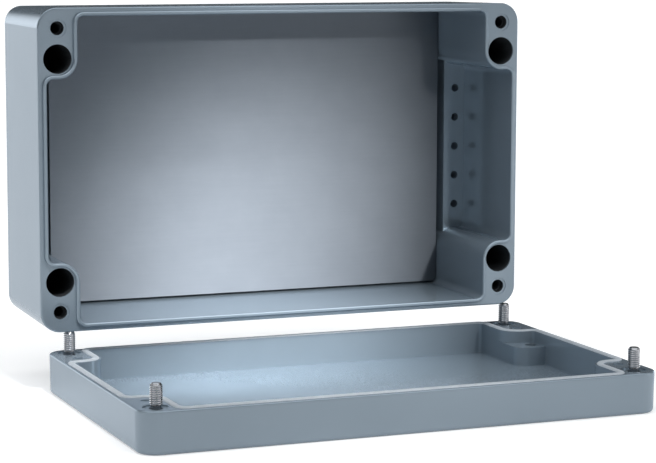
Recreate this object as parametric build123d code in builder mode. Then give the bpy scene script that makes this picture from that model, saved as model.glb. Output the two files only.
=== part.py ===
from build123d import *
import os

# A die cast aluminium enclosure, opened. The lid lies on its outer face with its inside up.
# The base stands on its long side, open towards -Y, on the tips of the lid's two rear screws.
# The origin is the centre of the lid's outer face. Sizes are in millimetres.

# Box, as seen from its open side
BOX_LENGTH = 260.0
BOX_WIDTH = 160.0
BASE_DEPTH = 70.0
LID_DEPTH = 20.0
CORNER_RADIUS = 10.0
LID_EDGE_RADIUS = 2.0
BASE_EDGE_RADIUS = 2.0
RIM_EDGE_RADIUS = 0.8

# Walls of the two castings, with the draft that lets them leave the die, in degrees
WALL = 4.0
BASE_BACK_WALL = 3.0
LID_FLOOR = 4.5
OUTER_DRAFT = 1.0
INNER_DRAFT = 0.5

# Lid screws and wall screws, as insets from the outside of the box
SCREW_INSET = 10.0
WALL_SCREW_INSET = 25.0
WALL_SCREW_HOLE = 7.0
WALL_SCREW_POCKET = 14.4
WALL_SCREW_SEAT = 6.0

# Corner columns, round the wall screws' pockets
COLUMN_RADIUS = 9.7
NOOK_RADIUS = 3.5

# Tongue of the base and groove of the lid, which follow the same outline
TONGUE_WIDTH = 1.75
TONGUE_HEIGHT = 2.0
TONGUE_BEVEL = 0.45
GROOVE_CLEARANCE = 0.8
GROOVE_DEPTH = 4.0
GROOVE_INNER_WALL = 0.8
SEAL_SIDE_GAP = 0.05
SEAL_PROUD = 0.6
SEAL_CROWN = 0.5

# Threaded holes in the base for the lid screws
SCREW_HOLE_CORE = 5.0
SCREW_HOLE_DEPTH = 20.0
SCREW_HOLE_MOUTH = 6.8
SCREW_HOLE_MOUTH_DEPTH = 4.0
SCREW_HOLE_SPOT = 9.2
SCREW_HOLE_SPOT_DEPTH = 0.4

# Cast ledges along the base's short walls, with a row of threaded holes each
LEDGE_REACH = 12.5
LEDGE_RISE = 11.0
LEDGE_HOLE = 4.2
LEDGE_HOLE_DEPTH = 8.0
LEDGE_HOLE_PITCH = 16.0
LEDGE_HOLE_COUNT = 5

# Mounting plate inside the base, on four cast posts
PLATE_THICKNESS = 1.5
PLATE_SIDE_GAP = 0.9
PLATE_END_GAP = 1.7
PLATE_CORNER_RADIUS = 3.0
POST_DIAMETER = 9.0
POST_INSET_LENGTH = 35.0
POST_INSET_WIDTH = 20.0

# Low fixing block beside the lid's rear right column
BLOCK_REACH = 15.5
BLOCK_RISE = 9.5
BLOCK_CORNER_RADIUS = 6.0
BLOCK_HOLE = 6.8
BLOCK_HOLE_DEPTH = 8.0
BLOCK_HOLE_SETBACK = 7.8

# Lid screws, captive in the lid: collar, waist and threaded end
SCREW_DIAMETER = 6.0
SCREW_HEAD_DIAMETER = 10.0
SCREW_HEAD_HEIGHT = 6.0
SCREW_HEAD_CHAMFER = 0.5
SCREW_SOCKET = 5.0
SCREW_SOCKET_DEPTH = 3.0
SCREW_PROUD = 11.0
SCREW_THREAD = 9.5
SCREW_WAIST = 4.8
SCREW_WAIST_CONE = 0.6
SCREW_COLLAR = 2.0
SCREW_TIP_CHAMFER = 0.9
SCREW_RUNNING_GAP = 0.06
HEAD_POCKET_DEPTH = 7.0
HEAD_POCKET_GAP = 0.5
FOOT_POCKET = 12.0
FOOT_POCKET_DEPTH = 0.6
EJECTOR_MARK = 5.0
EJECTOR_MARK_DEPTH = 0.5

# Where the standing base meets the lid's rear screws
BASE_SHIFT = -5.0
BASE_OVERHANG = 2.5
BASE_SEAT_GAP = 0.05

# Places worked out from the sizes
SCREW_PITCH_LENGTH = BOX_LENGTH - 2 * SCREW_INSET
SCREW_PITCH_WIDTH = BOX_WIDTH - 2 * SCREW_INSET
WALL_SCREW_PITCH_WIDTH = BOX_WIDTH - 2 * WALL_SCREW_INSET
COLUMN_LENGTH = (BOX_LENGTH - SCREW_PITCH_LENGTH) / 2 + COLUMN_RADIUS
COLUMN_WIDTH = (BOX_WIDTH - WALL_SCREW_PITCH_WIDTH) / 2 + COLUMN_RADIUS
BASE_RIM_Y = SCREW_PITCH_WIDTH / 2 - BASE_OVERHANG
BASE_BOTTOM_Z = LID_DEPTH + SCREW_PROUD + BASE_SEAT_GAP
BASE_MIDDLE_Z = BASE_BOTTOM_Z + BOX_WIDTH / 2
BASE_CAVITY_DEPTH = BASE_DEPTH - BASE_BACK_WALL
LID_CAVITY_DEPTH = LID_DEPTH - LID_FLOOR
LID_INSET = GROOVE_CLEARANCE + GROOVE_INNER_WALL
LEDGE_FRONT = BASE_CAVITY_DEPTH - LEDGE_RISE
SCREW_ROWS = (SCREW_PITCH_LENGTH, SCREW_PITCH_WIDTH, 2, 2)
WALL_SCREW_ROWS = (SCREW_PITCH_LENGTH, WALL_SCREW_PITCH_WIDTH, 2, 2)
CORNER_ROWS = (BOX_LENGTH, BOX_WIDTH, 2, 2)

os.makedirs("parts", exist_ok=True)


def base_plane(depth):
    """A plane behind the base's rim, with its normal into the base."""
    return Plane(origin=(BASE_SHIFT, BASE_RIM_Y + depth, BASE_MIDDLE_Z), x_dir=(1, 0, 0), z_dir=(0, 1, 0))


def lid_plane(depth):
    """A plane under the lid's rim, with its normal into the lid."""
    return Plane(origin=(0, 0, LID_DEPTH - depth), x_dir=(1, 0, 0), z_dir=(0, 0, -1))


def shell_outline(plane):
    """The outside of the box, with its rounded corners."""
    with BuildSketch(plane) as outline:
        RectangleRounded(BOX_LENGTH, BOX_WIDTH, CORNER_RADIUS)
    return outline.sketch


def cavity_outline(plane, inset):
    """The inside of the box with its corner columns, moved inwards by inset."""
    with BuildSketch(plane) as outline:
        Rectangle(BOX_LENGTH - 2 * (WALL + inset), BOX_WIDTH - 2 * (WALL + inset))
        with GridLocations(*CORNER_ROWS):
            Rectangle(2 * (COLUMN_LENGTH + inset), 2 * (COLUMN_WIDTH + inset), mode=Mode.SUBTRACT)
        columns = outline.vertices().sort_by_distance((0, 0, 0))[:4]
        fillet(columns, COLUMN_RADIUS + inset)
        nooks = outline.vertices().sort_by_distance((0, 0, 0))[-8:]
        fillet(nooks, NOOK_RADIUS - inset)
    return outline.sketch


def ring_outline(plane, outer_inset, inner_inset):
    """A band along the cavity's outline, between two insets."""
    with BuildSketch(plane) as ring:
        add(cavity_outline(Plane.XY, outer_inset))
        add(cavity_outline(Plane.XY, inner_inset), mode=Mode.SUBTRACT)
    return ring.sketch


def round_holes(plane, diameter, rows):
    """Circles on a rectangular pattern."""
    with BuildSketch(plane) as holes:
        with GridLocations(*rows):
            Circle(diameter / 2)
    return holes.sketch


def ledge_outline(plane):
    """The two ledges, run into the short walls and the corner columns."""
    length = LEDGE_REACH + WALL / 2
    middle = BOX_LENGTH / 2 - WALL - LEDGE_REACH + length / 2
    with BuildSketch(plane) as ledges:
        with Locations((-middle, 0), (middle, 0)):
            Rectangle(length, BOX_WIDTH - 2 * COLUMN_WIDTH + NOOK_RADIUS)
    return ledges.sketch


def block_outline(plane):
    """The lid's low block, run into the rear right column and the short wall."""
    length = COLUMN_LENGTH + LID_INSET - WALL / 2
    width = BLOCK_REACH + COLUMN_WIDTH / 2
    with BuildSketch(plane) as block:
        with Locations(((BOX_LENGTH - WALL) / 2, COLUMN_WIDTH / 2 - BOX_WIDTH / 2)):
            Rectangle(length, width, align=(Align.MAX, Align.MIN))
        fillet(block.vertices().group_by(Axis.X)[0].sort_by(Axis.Y)[-1], BLOCK_CORNER_RADIUS)
    return block.sketch


# Base casting
with BuildPart() as base_casting:
    extrude(shell_outline(base_plane(0)), amount=BASE_DEPTH, taper=OUTER_DRAFT)
    fillet(base_casting.faces().sort_by(Axis.Y)[-1].edges(), BASE_EDGE_RADIUS)
    fillet(base_casting.faces().sort_by(Axis.Y)[0].edges(), RIM_EDGE_RADIUS)
    extrude(ring_outline(base_plane(0), -TONGUE_WIDTH, 0), amount=-TONGUE_HEIGHT)
    chamfer(base_casting.faces().sort_by(Axis.Y)[0].edges(), TONGUE_BEVEL)
    extrude(
        cavity_outline(base_plane(0), 0),
        amount=BASE_CAVITY_DEPTH,
        taper=INNER_DRAFT,
        mode=Mode.SUBTRACT,
    )
    extrude(ledge_outline(base_plane(LEDGE_FRONT)), amount=LEDGE_RISE + BASE_BACK_WALL / 2)
    post_front = LEDGE_FRONT + PLATE_THICKNESS
    post_rows = (
        BOX_LENGTH - 2 * POST_INSET_LENGTH,
        BOX_WIDTH - 2 * POST_INSET_WIDTH,
        2,
        2,
    )
    extrude(
        round_holes(base_plane(post_front), POST_DIAMETER, post_rows),
        amount=LEDGE_RISE - PLATE_THICKNESS + BASE_BACK_WALL / 2,
    )
    ledge_rows = (SCREW_PITCH_LENGTH, LEDGE_HOLE_PITCH, 2, LEDGE_HOLE_COUNT)
    extrude(
        round_holes(base_plane(LEDGE_FRONT), LEDGE_HOLE, ledge_rows),
        amount=LEDGE_HOLE_DEPTH,
        mode=Mode.SUBTRACT,
    )
    for diameter, depth in (
        (SCREW_HOLE_CORE, SCREW_HOLE_DEPTH),
        (SCREW_HOLE_MOUTH, SCREW_HOLE_MOUTH_DEPTH),
        (SCREW_HOLE_SPOT, SCREW_HOLE_SPOT_DEPTH),
    ):
        extrude(round_holes(base_plane(0), diameter, SCREW_ROWS), amount=depth, mode=Mode.SUBTRACT)
    for diameter, depth in (
        (WALL_SCREW_HOLE, BASE_DEPTH),
        (WALL_SCREW_POCKET, BASE_DEPTH - WALL_SCREW_SEAT),
    ):
        extrude(
            round_holes(base_plane(0), diameter, WALL_SCREW_ROWS),
            amount=depth,
            mode=Mode.SUBTRACT,
        )
base_casting.part.label = "base_casting"
export_step(base_casting.part, "parts/base_casting.step")

# Mounting plate
with BuildPart() as mounting_plate:
    with BuildSketch(base_plane(LEDGE_FRONT)):
        RectangleRounded(
            BOX_LENGTH - 2 * (COLUMN_LENGTH + PLATE_SIDE_GAP),
            BOX_WIDTH - 2 * (WALL + PLATE_END_GAP),
            PLATE_CORNER_RADIUS,
        )
    extrude(amount=PLATE_THICKNESS)
mounting_plate.part.label = "mounting_plate"
export_step(mounting_plate.part, "parts/mounting_plate.step")

# Lid casting
with BuildPart() as lid_casting:
    extrude(shell_outline(lid_plane(0)), amount=LID_DEPTH, taper=OUTER_DRAFT)
    fillet(lid_casting.faces().sort_by(Axis.Z)[0].edges(), LID_EDGE_RADIUS)
    fillet(lid_casting.faces().sort_by(Axis.Z)[-1].edges(), RIM_EDGE_RADIUS)
    extrude(
        cavity_outline(lid_plane(0), LID_INSET),
        amount=LID_CAVITY_DEPTH,
        taper=INNER_DRAFT,
        mode=Mode.SUBTRACT,
    )
    extrude(
        block_outline(lid_plane(LID_CAVITY_DEPTH - BLOCK_RISE)),
        amount=BLOCK_RISE + LID_FLOOR / 2,
    )
    with BuildSketch(lid_plane(LID_CAVITY_DEPTH - BLOCK_RISE)):
        block_front = COLUMN_WIDTH + BLOCK_REACH - BOX_WIDTH / 2
        with Locations((SCREW_PITCH_LENGTH / 2, block_front - BLOCK_HOLE_SETBACK)):
            Circle(BLOCK_HOLE / 2)
    extrude(amount=BLOCK_HOLE_DEPTH, mode=Mode.SUBTRACT)
    extrude(
        ring_outline(lid_plane(0), -TONGUE_WIDTH - GROOVE_CLEARANCE, GROOVE_CLEARANCE),
        amount=GROOVE_DEPTH,
        mode=Mode.SUBTRACT,
    )
    screw_bore = SCREW_DIAMETER + 2 * SCREW_RUNNING_GAP
    head_pocket = SCREW_HEAD_DIAMETER + 2 * HEAD_POCKET_GAP
    for plane, diameter, depth in (
        (lid_plane(0), screw_bore, LID_DEPTH),
        (lid_plane(0), FOOT_POCKET, FOOT_POCKET_DEPTH),
        (lid_plane(LID_DEPTH - HEAD_POCKET_DEPTH), head_pocket, HEAD_POCKET_DEPTH),
    ):
        extrude(round_holes(plane, diameter, SCREW_ROWS), amount=depth, mode=Mode.SUBTRACT)
    extrude(
        round_holes(lid_plane(0), EJECTOR_MARK, WALL_SCREW_ROWS),
        amount=EJECTOR_MARK_DEPTH,
        mode=Mode.SUBTRACT,
    )
lid_casting.part.label = "lid_casting"
export_step(lid_casting.part, "parts/lid_casting.step")

# Seal in the lid's groove, with a bevelled crown that stands proud of the rim
with BuildPart() as lid_seal:
    seal_outer = -TONGUE_WIDTH - GROOVE_CLEARANCE + SEAL_SIDE_GAP
    seal_inner = GROOVE_CLEARANCE - SEAL_SIDE_GAP
    extrude(
        ring_outline(lid_plane(GROOVE_DEPTH), seal_outer, seal_inner),
        amount=-GROOVE_DEPTH - SEAL_PROUD,
    )
    chamfer(lid_seal.faces().sort_by(Axis.Z)[-1].edges(), SEAL_CROWN)
lid_seal.part.label = "lid_seal"
export_step(lid_seal.part, "parts/lid_seal.step")


def screw_plane(x, y):
    """The upright plane through a lid screw's axis, at the underside of its head."""
    return Plane(origin=(x, y, HEAD_POCKET_DEPTH), x_dir=(1, 0, 0), z_dir=(0, -1, 0))


# Lid screws, head down in the lid's outer face
screw_radius = SCREW_DIAMETER / 2
waist_radius = SCREW_WAIST / 2
screw_length = LID_DEPTH - HEAD_POCKET_DEPTH + SCREW_PROUD
thread_start = screw_length - SCREW_THREAD
screw_places = {
    "front_left": (-SCREW_PITCH_LENGTH / 2, -SCREW_PITCH_WIDTH / 2),
    "front_right": (SCREW_PITCH_LENGTH / 2, -SCREW_PITCH_WIDTH / 2),
    "rear_left": (-SCREW_PITCH_LENGTH / 2, SCREW_PITCH_WIDTH / 2),
    "rear_right": (SCREW_PITCH_LENGTH / 2, SCREW_PITCH_WIDTH / 2),
}
for place, (screw_x, screw_y) in screw_places.items():
    with BuildPart() as lid_screw:
        with BuildSketch(screw_plane(screw_x, screw_y)):
            with BuildLine():
                Polyline(
                    (0, -SCREW_HEAD_HEIGHT),
                    (SCREW_HEAD_DIAMETER / 2 - SCREW_HEAD_CHAMFER, -SCREW_HEAD_HEIGHT),
                    (SCREW_HEAD_DIAMETER / 2, SCREW_HEAD_CHAMFER - SCREW_HEAD_HEIGHT),
                    (SCREW_HEAD_DIAMETER / 2, 0),
                    (screw_radius, 0),
                    (screw_radius, SCREW_COLLAR),
                    (waist_radius, SCREW_COLLAR + SCREW_WAIST_CONE),
                    (waist_radius, thread_start - SCREW_WAIST_CONE),
                    (screw_radius, thread_start),
                    (screw_radius, screw_length - SCREW_TIP_CHAMFER),
                    (screw_radius - SCREW_TIP_CHAMFER, screw_length),
                    (0, screw_length),
                    close=True,
                )
            make_face()
        revolve(axis=Axis((screw_x, screw_y, 0), (0, 0, 1)))
        head_face = HEAD_POCKET_DEPTH - SCREW_HEAD_HEIGHT
        with BuildSketch(Plane(origin=(screw_x, screw_y, head_face))):
            RegularPolygon(SCREW_SOCKET / 2, 6, major_radius=False)
        extrude(amount=SCREW_SOCKET_DEPTH, mode=Mode.SUBTRACT)
    lid_screw.part.label = "lid_screw_" + place
    export_step(lid_screw.part, "parts/lid_screw_" + place + ".step")
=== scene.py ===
import math

import bpy
from mathutils import Matrix, Vector


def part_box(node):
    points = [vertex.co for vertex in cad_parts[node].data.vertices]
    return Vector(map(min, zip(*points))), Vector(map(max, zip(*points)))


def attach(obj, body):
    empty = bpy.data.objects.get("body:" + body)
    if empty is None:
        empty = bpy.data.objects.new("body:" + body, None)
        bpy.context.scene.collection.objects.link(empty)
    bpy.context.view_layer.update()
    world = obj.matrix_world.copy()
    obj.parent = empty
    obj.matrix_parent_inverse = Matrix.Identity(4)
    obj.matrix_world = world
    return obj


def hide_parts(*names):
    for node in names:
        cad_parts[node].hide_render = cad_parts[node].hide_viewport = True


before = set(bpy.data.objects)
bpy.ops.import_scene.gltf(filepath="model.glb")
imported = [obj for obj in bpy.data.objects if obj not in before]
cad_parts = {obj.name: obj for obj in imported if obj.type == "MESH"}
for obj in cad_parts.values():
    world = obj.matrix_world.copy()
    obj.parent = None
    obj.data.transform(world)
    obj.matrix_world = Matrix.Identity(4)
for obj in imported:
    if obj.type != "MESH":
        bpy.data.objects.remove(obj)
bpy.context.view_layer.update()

MM = 0.001
IMAGE_WIDTH = 656
SENSOR_WIDTH = 36.0

# The camera, fitted to the photograph: place in millimetres, angles in degrees, focal length in pixels
CAMERA_PLACE = (-424.4, -1021.4, 228.5)
CAMERA_YAW = -22.08
CAMERA_PITCH = -7.45
CAMERA_ROLL = -0.16
CAMERA_FOCAL = 2301.9

# The middle of the standing base's rim, in millimetres
BASE_MIDDLE = (-5.0, 67.5, 111.05)

# The base's two rows of holes, in millimetres: pitch across and along, radius,
# and the depths behind the rim at which the painted shade inside the holes begins and ends
POCKET_HOLES = (240.0, 110.0, 7.6, 1.2, 65.0)
THREAD_HOLES = (240.0, 140.0, 3.6, 0.8, 30.0)


# Materials. Noise values from the first to the second run from a ramp's dark to its light colour
RAMP_START, RAMP_END = 0.3, 0.7
# Painted shade in the base's holes: a dark colour standing in for the shade there, and its roughness
HOLE_SHADE_COLOUR = (0.050, 0.055, 0.060)
HOLE_ROUGHNESS = 0.3
PAINT_METALLIC = 0.35
PAINT_SPECULAR = 0.5


def new_material(name):
    """A material with only a Principled shader and its output: itself, its nodes, links and shader."""
    mat = bpy.data.materials.new(name)
    mat.use_nodes = True
    return mat, mat.node_tree.nodes, mat.node_tree.links, mat.node_tree.nodes["Principled BSDF"]


def noise(nodes, links, coords, scale, detail, roughness):
    """Cloudy noise from 0 to 1."""
    node = nodes.new("ShaderNodeTexNoise")
    node.inputs["Scale"].default_value = scale
    node.inputs["Detail"].default_value = detail
    node.inputs["Roughness"].default_value = roughness
    links.new(coords, node.inputs["Vector"])
    return node.outputs["Fac"]


def ramp(nodes, links, value, dark, light):
    """A colour between two, from a noise value."""
    node = nodes.new("ShaderNodeValToRGB")
    ends = ((RAMP_START, dark), (RAMP_END, light))
    for element, (place, colour) in zip(node.color_ramp.elements, ends):
        element.position, element.color = place, (*colour, 1)
    links.new(value, node.inputs["Fac"])
    return node.outputs["Color"]


def spread(nodes, links, value, low, high):
    """Maps a value from 0..1 to low..high."""
    node = nodes.new("ShaderNodeMapRange")
    node.inputs["To Min"].default_value = low
    node.inputs["To Max"].default_value = high
    links.new(value, node.inputs["Value"])
    return node.outputs["Result"]


def bump(nodes, links, height, distance, strength):
    """A normal bent by a height, with its distance in metres."""
    node = nodes.new("ShaderNodeBump")
    node.inputs["Distance"].default_value = distance
    node.inputs["Strength"].default_value = strength
    links.new(height, node.inputs["Height"])
    return node.outputs["Normal"]


def stretched(nodes, links, coords, scale):
    """Coordinates scaled along each axis."""
    node = nodes.new("ShaderNodeMapping")
    node.inputs["Scale"].default_value = scale
    links.new(coords, node.inputs["Vector"])
    return node.outputs["Vector"]


def object_coords(nodes):
    """The object's own coordinates, in metres."""
    return nodes.new("ShaderNodeTexCoord").outputs["Object"]


def maths(nodes, links, operation, first, second=None):
    """A maths node. Each operand is a socket or a number, and the second may be left out."""
    node = nodes.new("ShaderNodeMath")
    node.operation = operation
    for place, value in enumerate((first, second)):
        if isinstance(value, (int, float)):
            node.inputs[place].default_value = value
        elif value is not None:
            links.new(value, node.inputs[place])
    return node.outputs["Value"]


def hole_shade_mask(nodes, links, coords, rows_x, rows_z, radius, mouth, end):
    """1 in the base's four holes at the corners of a pattern, between two depths behind its rim: where
    shade is painted in.
    """
    split = nodes.new("ShaderNodeSeparateXYZ")
    links.new(coords, split.inputs["Vector"])
    squares = []
    for axis, middle, rows in (("X", BASE_MIDDLE[0], rows_x), ("Z", BASE_MIDDLE[2], rows_z)):
        offset = maths(nodes, links, "SUBTRACT", split.outputs[axis], middle * MM)
        offset = maths(nodes, links, "ABSOLUTE", offset)
        offset = maths(nodes, links, "SUBTRACT", offset, rows / 2 * MM)
        squares.append(maths(nodes, links, "MULTIPLY", offset, offset))
    square = maths(nodes, links, "ADD", squares[0], squares[1])
    near = maths(nodes, links, "LESS_THAN", square, (radius * MM) ** 2)
    depth = split.outputs["Y"]
    past = maths(nodes, links, "GREATER_THAN", depth, (BASE_MIDDLE[1] + mouth) * MM)
    short = maths(nodes, links, "LESS_THAN", depth, (BASE_MIDDLE[1] + end) * MM)
    return maths(nodes, links, "MULTIPLY", near, maths(nodes, links, "MULTIPLY", past, short))


def casting_material():
    """Blue-grey semi-gloss paint with faint flow marks. The base's holes get a painted shade: a dark
    colour without shine.
    """
    mat, nodes, links, shader = new_material("casting_paint")
    coords = object_coords(nodes)
    clouds = noise(nodes, links, coords, scale=14.0, detail=4.0, roughness=0.55)
    paint = ramp(nodes, links, clouds, (0.238, 0.293, 0.340), (0.258, 0.316, 0.366))
    # Masks for the painted shade inside the base's pockets and threaded holes
    pockets = hole_shade_mask(nodes, links, coords, *POCKET_HOLES)
    threads = hole_shade_mask(nodes, links, coords, *THREAD_HOLES)
    holes = maths(nodes, links, "MAXIMUM", pockets, threads)
    painted = maths(nodes, links, "SUBTRACT", 1.0, holes)
    # Painted shade: the holes are darkened to a flat dark colour
    hole_shade_mix = nodes.new("ShaderNodeMix")
    hole_shade_mix.data_type = "RGBA"
    hole_shade_mix.inputs["B"].default_value = (*HOLE_SHADE_COLOUR, 1)
    links.new(holes, hole_shade_mix.inputs["Factor"])
    links.new(paint, hole_shade_mix.inputs["A"])
    links.new(hole_shade_mix.outputs["Result"], shader.inputs["Base Color"])
    grain = noise(nodes, links, coords, scale=900.0, detail=3.0, roughness=0.6)
    smooth = spread(nodes, links, grain, low=0.17, high=0.24)
    # Inside the holes the shine is taken away too, as part of the painted shade; outside them the
    # paint keeps its shine
    rough = maths(nodes, links, "MULTIPLY", holes, HOLE_ROUGHNESS)
    metallic = maths(nodes, links, "MULTIPLY", painted, PAINT_METALLIC)
    specular = maths(nodes, links, "MULTIPLY", painted, PAINT_SPECULAR)
    links.new(maths(nodes, links, "ADD", smooth, rough), shader.inputs["Roughness"])
    links.new(metallic, shader.inputs["Metallic"])
    links.new(specular, shader.inputs["Specular IOR Level"])
    shader.inputs["Specular Tint"].default_value = (0.80, 0.90, 1.0, 1)
    ripples = noise(nodes, links, coords, scale=60.0, detail=2.0, roughness=0.5)
    links.new(bump(nodes, links, ripples, distance=0.00006, strength=0.15), shader.inputs["Normal"])
    shader.inputs["IOR"].default_value = 1.6
    return mat


def plate_material():
    """Satin rolled sheet, with fine lines along its length, a faint mottle and a stretched shine."""
    mat, nodes, links, shader = new_material("plate_sheet")
    coords = object_coords(nodes)
    along = stretched(nodes, links, coords, (40.0, 900.0, 900.0))
    lines = noise(nodes, links, along, scale=1.0, detail=3.0, roughness=0.6)
    mottle = noise(nodes, links, coords, scale=60.0, detail=3.0, roughness=0.6)
    colour = ramp(nodes, links, mottle, (0.248, 0.275, 0.310), (0.262, 0.290, 0.326))
    links.new(colour, shader.inputs["Base Color"])
    links.new(spread(nodes, links, lines, low=0.60, high=0.66), shader.inputs["Roughness"])
    links.new(bump(nodes, links, lines, distance=0.00001, strength=0.02), shader.inputs["Normal"])
    shader.inputs["Metallic"].default_value = 1.0
    shader.inputs["Anisotropic"].default_value = 0.9
    tangent = nodes.new("ShaderNodeTangent")
    tangent.axis = "X"
    links.new(tangent.outputs["Tangent"], shader.inputs["Tangent"])
    return mat


def seal_material():
    """Soft light grey rubber with a dusty surface."""
    mat, nodes, links, shader = new_material("seal_rubber")
    coords = object_coords(nodes)
    dust = noise(nodes, links, coords, scale=300.0, detail=3.0, roughness=0.6)
    colour = ramp(nodes, links, dust, (0.42, 0.46, 0.50), (0.50, 0.54, 0.58))
    links.new(colour, shader.inputs["Base Color"])
    links.new(bump(nodes, links, dust, distance=0.00004, strength=0.3), shader.inputs["Normal"])
    shader.inputs["Roughness"].default_value = 0.6
    return mat


def screw_material():
    """Stainless steel with fine turning marks."""
    mat, nodes, links, shader = new_material("screw_steel")
    coords = object_coords(nodes)
    across = stretched(nodes, links, coords, (200.0, 200.0, 3000.0))
    marks = noise(nodes, links, across, scale=1.0, detail=2.0, roughness=0.5)
    colour = ramp(nodes, links, marks, (0.34, 0.345, 0.36), (0.42, 0.425, 0.44))
    links.new(colour, shader.inputs["Base Color"])
    links.new(spread(nodes, links, marks, low=0.14, high=0.22), shader.inputs["Roughness"])
    links.new(bump(nodes, links, marks, distance=0.00002, strength=0.3), shader.inputs["Normal"])
    shader.inputs["Metallic"].default_value = 1.0
    return mat


# Lid screws, in millimetres and degrees
SCREW_SIDES = 48
PITCH = 1.0
THREAD_DEPTH = 0.24
THREAD_LENGTH = 9.5
RINGS_PER_TURN = 12
FLANK_SLOPE = 2.5
FULL_THREAD = 0.05
HEAD_RADIUS = 5.0
HEAD_HEIGHT = 6.0
HEAD_BEVEL = 0.5
SOCKET_FLATS = 5.0
SOCKET_DEPTH = 3.0
SHANK_RADIUS = 3.0
COLLAR = 2.0
WAIST_RADIUS = 2.4
TAPER = 0.6
TIP_BEVEL = 0.9
CLOSING_RADIUS = 0.001
SHARP_ANGLE = 32


def ring(radius, z):
    """A level ring of points. The radius may depend on the angle, given in turns."""
    points = []
    for i in range(SCREW_SIDES):
        turn = i / SCREW_SIDES
        r = radius(turn) if callable(radius) else radius
        points.append(Vector((r * math.cos(2 * math.pi * turn), r * math.sin(2 * math.pi * turn), z)))
    return points


def hexagon(across_flats):
    """The radius of a hexagon at an angle in turns."""
    return lambda turn: across_flats / 2 / math.cos((turn * 6 % 1 - 0.5) * math.pi / 3)


def thread_radius(outer, z, depth):
    """The radius of a V thread at a height, at an angle in turns."""
    def at(turn):
        place = (z / PITCH - turn) % 1
        return outer - depth * min(1.0, abs(place - 0.5) * FLANK_SLOPE)
    return at


def screw_piece(node, mat):
    """A lid screw in place of its plain solid: socket head, collar, waist and a cut thread."""
    low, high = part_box(node)
    centre = (low + high) / 2
    bottom, top = low.z / MM, high.z / MM
    seat = bottom + HEAD_HEIGHT
    floor = bottom + SOCKET_DEPTH
    start = top - THREAD_LENGTH
    profile = (
        (CLOSING_RADIUS, floor),
        (hexagon(SOCKET_FLATS), floor),
        (hexagon(SOCKET_FLATS), bottom),
        (HEAD_RADIUS - HEAD_BEVEL, bottom),
        (HEAD_RADIUS, bottom + HEAD_BEVEL),
        (HEAD_RADIUS, seat),
        (SHANK_RADIUS, seat),
        (SHANK_RADIUS, seat + COLLAR),
        (WAIST_RADIUS, seat + COLLAR + TAPER),
        (WAIST_RADIUS, start - TAPER),
    )
    rings = [ring(radius, z) for radius, z in profile]
    steps = int((top - start) / PITCH * RINGS_PER_TURN)
    for i in range(steps + 1):
        z = start - TAPER + (top - start + TAPER) * i / steps
        run_in = WAIST_RADIUS + (z - start + TAPER)
        run_out = SHANK_RADIUS - TIP_BEVEL + (top - z)
        outer = min(SHANK_RADIUS, run_in, run_out)
        full = outer > SHANK_RADIUS - FULL_THREAD
        depth = THREAD_DEPTH if full else max(0.0, outer - WAIST_RADIUS)
        rings.append(ring(thread_radius(outer, z, depth), z))
    rings.append(ring(CLOSING_RADIUS, top))
    verts = [(centre.x + p.x * MM, centre.y + p.y * MM, p.z * MM) for r in rings for p in r]
    faces = []
    for k in range(len(rings) - 1):
        for i in range(SCREW_SIDES):
            j = (i + 1) % SCREW_SIDES
            a, b = k * SCREW_SIDES, (k + 1) * SCREW_SIDES
            faces.append((a + i, a + j, b + j, b + i))
    mesh = bpy.data.meshes.new(node + "_thread")
    mesh.from_pydata(verts, [], faces)
    mesh.validate()
    mesh.shade_smooth()
    mesh.set_sharp_from_angle(angle=math.radians(SHARP_ANGLE))
    mesh.materials.append(mat)
    piece = bpy.data.objects.new(node + "_thread", mesh)
    bpy.context.scene.collection.objects.link(piece)
    return piece


# Dressing of the frame
coats = {
    "base_casting": casting_material(),
    "mounting_plate": plate_material(),
    "lid_seal": seal_material(),
}
coats["lid_casting"] = coats["base_casting"]
for node, mat in coats.items():
    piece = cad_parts[node]
    for holder in piece.material_slots:
        holder.material = mat

steel = screw_material()
for place in ("front_left", "front_right", "rear_left", "rear_right"):
    node = "lid_screw_" + place
    piece = screw_piece(node, steel)
    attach(piece, "screw_" + place)
    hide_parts(node)


# Stage, light and camera. The floor's half size is in metres
FLOOR_HALF = 60.0
FLOOR_COLOUR = (0.80, 0.80, 0.80)
FLOOR_GLOW = 0.44
ROOM_LIGHT = 0.02
ROOM_COLOUR = (0.96, 0.98, 1.0)
# Bright sides of the room: direction, angles in degrees where each begins and is full, and radiance
LIGHT_SIDES = (
    ((-0.1, 0.0, 1.0), 40, 20, 1.7),
    ((0.5, -0.5, 0.7), 35, 15, 1.3),
    ((-0.5, -0.5, 0.7), 35, 15, 0.6),
    ((-0.75, 0.0, 0.65), 30, 15, 0.8),
    ((-0.5, 0.85, 0.05), 30, 12, 2.4),
    ((0.82, 0.55, 0.05), 12, 6, 8.0),
)


def floor_piece():
    """A wide plain pale floor, white to the camera and in reflections, that keeps the shadow."""
    mesh = bpy.data.meshes.new("studio_floor")
    corners = ((-1, -1), (1, -1), (1, 1), (-1, 1))
    mesh.from_pydata([(x * FLOOR_HALF, y * FLOOR_HALF, 0) for x, y in corners], [], [(0, 1, 2, 3)])
    mat, nodes, links, shader = new_material("studio_floor")
    path = nodes.new("ShaderNodeLightPath")
    seen = path.outputs["Is Camera Ray"]
    for ray in ("Is Glossy Ray", "Is Transmission Ray"):
        seen = maths(nodes, links, "MAXIMUM", seen, path.outputs[ray])
    glow = maths(nodes, links, "MULTIPLY", seen, FLOOR_GLOW)
    links.new(glow, shader.inputs["Emission Strength"])
    shader.inputs["Base Color"].default_value = (*FLOOR_COLOUR, 1)
    shader.inputs["Emission Color"].default_value = (1, 1, 1, 1)
    shader.inputs["Roughness"].default_value = 0.9
    shader.inputs["Specular IOR Level"].default_value = 0.1
    mesh.materials.append(mat)
    piece = bpy.data.objects.new("studio_floor", mesh)
    bpy.context.scene.collection.objects.link(piece)


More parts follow.
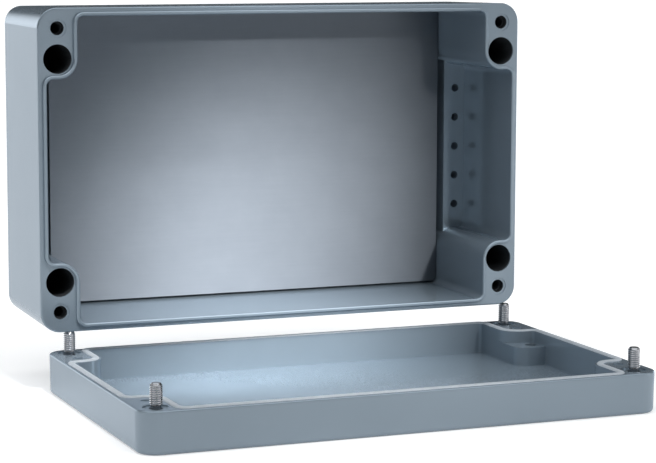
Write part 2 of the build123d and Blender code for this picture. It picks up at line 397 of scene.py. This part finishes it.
def studio_world():
    """Soft light from all round: a dim room with a few broad bright sides, each round a direction."""
    world = bpy.data.worlds.new("studio")
    bpy.context.scene.world = world
    world.use_nodes = True
    nodes, links = world.node_tree.nodes, world.node_tree.links
    direction = nodes.new("ShaderNodeTexCoord").outputs["Generated"]
    total = None
    for towards, edge, full, strength in LIGHT_SIDES:
        facing = nodes.new("ShaderNodeVectorMath")
        facing.operation = "DOT_PRODUCT"
        facing.inputs[1].default_value = Vector(towards).normalized()
        links.new(direction, facing.inputs[0])
        side = nodes.new("ShaderNodeMapRange")
        side.interpolation_type = "SMOOTHSTEP"
        side.inputs["From Min"].default_value = math.cos(math.radians(edge))
        side.inputs["From Max"].default_value = math.cos(math.radians(full))
        side.inputs["To Max"].default_value = strength
        links.new(facing.outputs["Value"], side.inputs["Value"])
        both = nodes.new("ShaderNodeMath")
        both.inputs[1].default_value = ROOM_LIGHT
        if total is not None:
            links.new(total, both.inputs[1])
        links.new(side.outputs["Result"], both.inputs[0])
        total = both.outputs["Value"]
    links.new(total, nodes["Background"].inputs["Strength"])
    nodes["Background"].inputs["Color"].default_value = (*ROOM_COLOUR, 1)


def aimed_lamp(name, data, place, target):
    """A lamp at a place, turned to a target, in millimetres."""
    lamp = bpy.data.objects.new(name, data)
    lamp.location = Vector(place) * MM
    aim = (Vector(target) - Vector(place)).normalized()
    lamp.rotation_mode = "QUATERNION"
    lamp.rotation_quaternion = aim.to_track_quat("-Z", "Y")
    bpy.context.scene.collection.objects.link(lamp)


def soft_light(name, place, target, size, radiance):
    """A soft box with its size in millimetres."""
    data = bpy.data.lights.new(name, "AREA")
    data.shape = "RECTANGLE"
    data.size, data.size_y = size[0] * MM, size[1] * MM
    data.energy = radiance * math.pi * data.size * data.size_y
    aimed_lamp(name, data, place, target)


def spot_light(name, place, target, cone, power, softness):
    """A spot with a soft edge. Its cone is in degrees, power in watts, softness in millimetres."""
    data = bpy.data.lights.new(name, "SPOT")
    data.energy = power
    data.spot_size = math.radians(cone)
    data.spot_blend = 1.0
    data.shadow_soft_size = softness * MM
    aimed_lamp(name, data, place, target)


floor_piece()
studio_world()
spot_light("plate_spot", (250, -900, 420), (7, 130, 57), cone=11.8, power=52.0, softness=50)
spot_light("lid_spot", (-70, -480, 900), (-26, 56, 10), cone=13.6, power=70.0, softness=50)
soft_light("right_strip", (2000, -900, 450), (100, 60, 100), size=(500, 900), radiance=4.0)

camera_data = bpy.data.cameras.new("camera")
camera_data.sensor_fit = "HORIZONTAL"
camera_data.sensor_width = SENSOR_WIDTH
camera_data.lens = CAMERA_FOCAL / IMAGE_WIDTH * SENSOR_WIDTH
camera_data.clip_start = 0.05
camera_data.clip_end = 50.0
camera = bpy.data.objects.new("camera", camera_data)
turn = (
    Matrix.Rotation(math.radians(CAMERA_YAW), 3, "Z")
    @ Matrix.Rotation(math.radians(CAMERA_PITCH), 3, "X")
    @ Matrix.Rotation(math.radians(CAMERA_ROLL), 3, "Y")
)
look = turn @ Matrix.Rotation(math.radians(90), 3, "X")
camera.matrix_world = Matrix.Translation(Vector(CAMERA_PLACE) * MM) @ look.to_4x4()
bpy.context.scene.collection.objects.link(camera)
bpy.context.scene.camera = camera

bpy.context.scene.view_settings.view_transform = "Standard"
